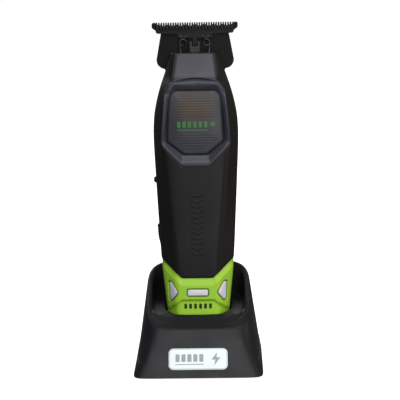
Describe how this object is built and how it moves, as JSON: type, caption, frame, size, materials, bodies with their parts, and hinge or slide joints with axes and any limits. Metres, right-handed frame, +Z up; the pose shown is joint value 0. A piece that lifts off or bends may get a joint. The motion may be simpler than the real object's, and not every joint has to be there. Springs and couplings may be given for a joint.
{
  "type": "hair clipper",
  "caption": "Cordless hair clipper with a wide T-blade, green base collar and push-on charging dock; it lifts out of the dock's sloping pocket.",
  "frame": {"origin": "middle of the dock's footprint, on the surface it stands on", "axes": "+Z up; -Y is the front, where the lens and the dock's label plate face; +X is to the right seen from the front; the clipper leans back 4 degrees towards +Y"},
  "size_m": [0.0644, 0.07, 0.1708],
  "materials": {
    "black_shell": "fine satin grain, almost black",
    "dock_black": "satin black",
    "green_collar": "lime green, semi-gloss",
    "gunmetal": "blue-grey metallic paint, satin",
    "dark_lens": "smoked, with fine horizontal ribs",
    "black_blade": "hard black coating on steel",
    "spring_steel": "bright drawn wire",
    "white_light": "white diffuser",
    "white_label": "white, satin",
    "inner_plastic": "dark grey moulding",
    "motor_steel": "plated steel",
    "copper": "enamelled copper winding",
    "brass": "gold-plated contact brass",
    "board_green": "circuit board",
    "battery_blue": "blue shrink sleeve",
    "rubber": "matt black rubber"
  },
  "bodies": {
    "dock": {"dock_shell": "dock_black", "dock_base_plate": "inner_plastic", "dock_ballast": "motor_steel", "dock_circuit_board": "board_green", "contact_block": "inner_plastic", "contact_spring_left": "spring_steel", "contact_spring_right": "spring_steel", "dock_power_socket": "motor_steel", "dock_label_plate": "white_label", "dock_foot_front_left": "rubber", "dock_foot_front_right": "rubber", "dock_foot_rear_left": "rubber", "dock_foot_rear_right": "rubber", "dock_screw_front_left": "motor_steel", "dock_screw_front_right": "motor_steel", "dock_screw_rear_left": "motor_steel", "dock_screw_rear_right": "motor_steel"},
    "contact_pin_left": {"contact_pin_left": "brass"},
    "contact_pin_right": {"contact_pin_right": "brass"},
    "clipper": {"front_housing": "black_shell", "rear_housing": "black_shell", "window_bezel": "gunmetal", "window_lens": "dark_lens", "neck_plate": "gunmetal", "base_collar": "green_collar", "base_light_center": "white_light", "base_light_left": "white_light", "base_light_right": "white_light", "base_cap": "black_shell", "contact_pad_left": "brass", "contact_pad_right": "brass", "fixed_blade": "black_blade", "blade_bracket": "motor_steel", "blade_screw_left": "motor_steel", "blade_screw_right": "motor_steel", "blade_spring": "spring_steel", "motor_can": "motor_steel", "motor_end_cap": "inner_plastic", "motor_mount": "motor_steel", "motor_screw_left": "motor_steel", "motor_screw_right": "motor_steel", "battery_cell": "battery_blue", "battery_holder": "inner_plastic", "side_board": "board_green", "slide_switch": "motor_steel", "push_switch": "inner_plastic", "case_screw_lower_left": "motor_steel", "case_screw_lower_right": "motor_steel", "case_screw_upper_left": "motor_steel", "case_screw_upper_right": "motor_steel"},
    "cutter": {"moving_blade": "black_blade", "cutter_yoke": "inner_plastic"},
    "rotor": {"motor_shaft": "motor_steel", "motor_armature": "copper", "eccentric_cam": "brass"},
    "power_slider": {"power_slider": "black_shell"},
    "speed_button": {"speed_button": "black_shell"}
  },
  "joints": [
    {"name": "clipper_lift", "type": "slide", "parent": "dock", "child": "clipper", "axis": [0, 0.0698, 0.9976], "range_m": [0, 0.06]},
    {"name": "cutter_slide", "type": "slide", "parent": "clipper", "child": "cutter", "axis": [1, 0, 0], "range_m": [-0.001, 0.001]},
    {"name": "motor_spin", "type": "hinge", "parent": "clipper", "child": "rotor", "pos_m": [0, 0.01012, 0.1365], "axis": [0, 0.0698, 0.9976], "continuous": true},
    {"name": "power_switch_slide", "type": "slide", "parent": "clipper", "child": "power_slider", "axis": [0, 0.0698, 0.9976], "range_m": [0, 0.003]},
    {"name": "speed_button_press", "type": "slide", "parent": "clipper", "child": "speed_button", "axis": [1, 0, 0], "range_m": [0, 0.0006], "stiffness_N_per_m": 1500, "springref_m": -0.0003},
    {"name": "contact_pin_left_press", "type": "slide", "parent": "dock", "child": "contact_pin_left", "axis": [0, -0.0698, -0.9976], "range_m": [0, 0.0012], "stiffness_N_per_m": 400, "springref_m": -0.001, "deforming": ["contact_spring_left"]},
    {"name": "contact_pin_right_press", "type": "slide", "parent": "dock", "child": "contact_pin_right", "axis": [0, -0.0698, -0.9976], "range_m": [0, 0.0012], "stiffness_N_per_m": 400, "springref_m": -0.001, "deforming": ["contact_spring_right"]}
  ]
}
